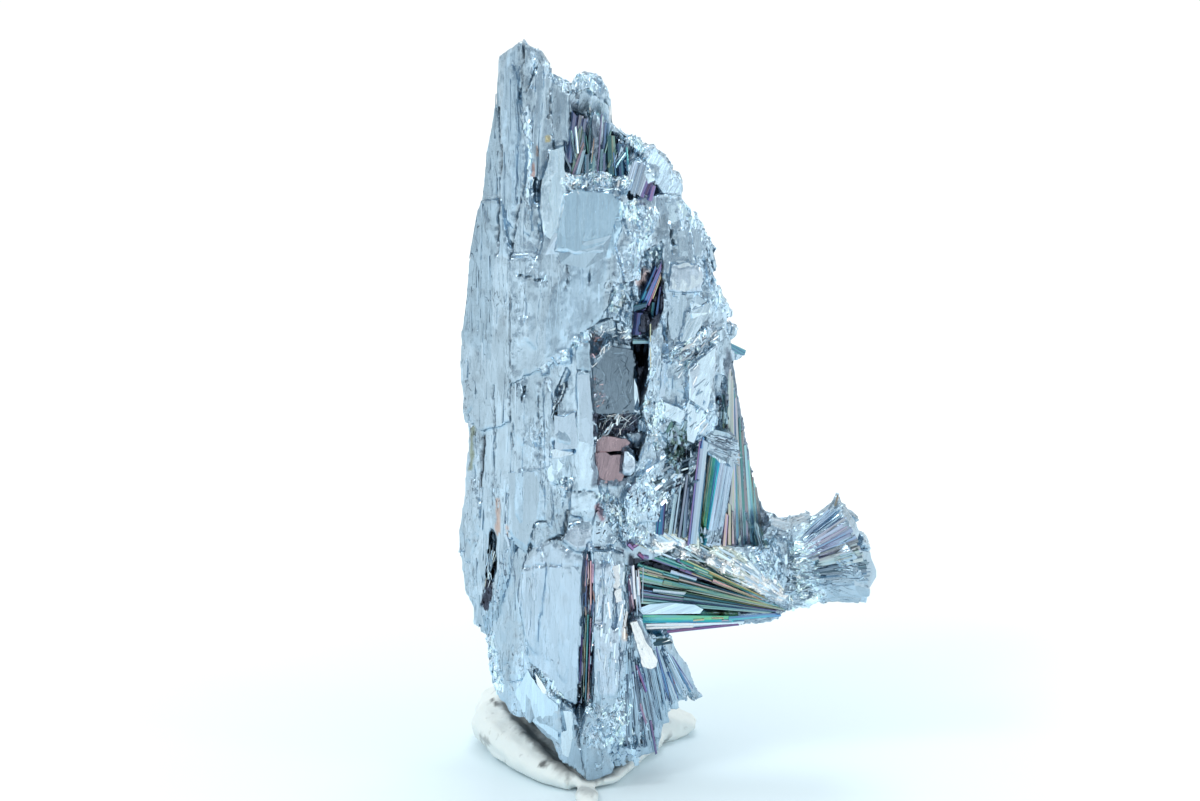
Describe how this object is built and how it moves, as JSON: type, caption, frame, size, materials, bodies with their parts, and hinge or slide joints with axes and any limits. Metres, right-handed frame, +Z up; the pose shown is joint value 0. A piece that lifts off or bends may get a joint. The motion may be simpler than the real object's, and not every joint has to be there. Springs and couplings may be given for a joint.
{
  "type": "stibnite crystal specimen",
  "caption": "Tall bladed stibnite mineral specimen with a side arm and tarnished crystals in its pockets, standing upright in a pad of white mounting putty.",
  "frame": {"origin": "middle of the putty pad's flat underside, below the specimen's middle", "axes": "+Z up along the crystal blades, -Y out of the specimen's display face, +X towards the side arm"},
  "size_m": [0.0486, 0.0319, 0.0873],
  "materials": {
    "stibnite_metal": "bright blue-grey metallic lustre, striated along the blades, tarnished green, blue and purple in the pockets and on the arm",
    "putty_white": "soft matt off-white putty with dark dust smudges"
  },
  "bodies": {
    "root": {"stibnite": "stibnite_metal", "putty": "putty_white"}
  },
  "joints": []
}
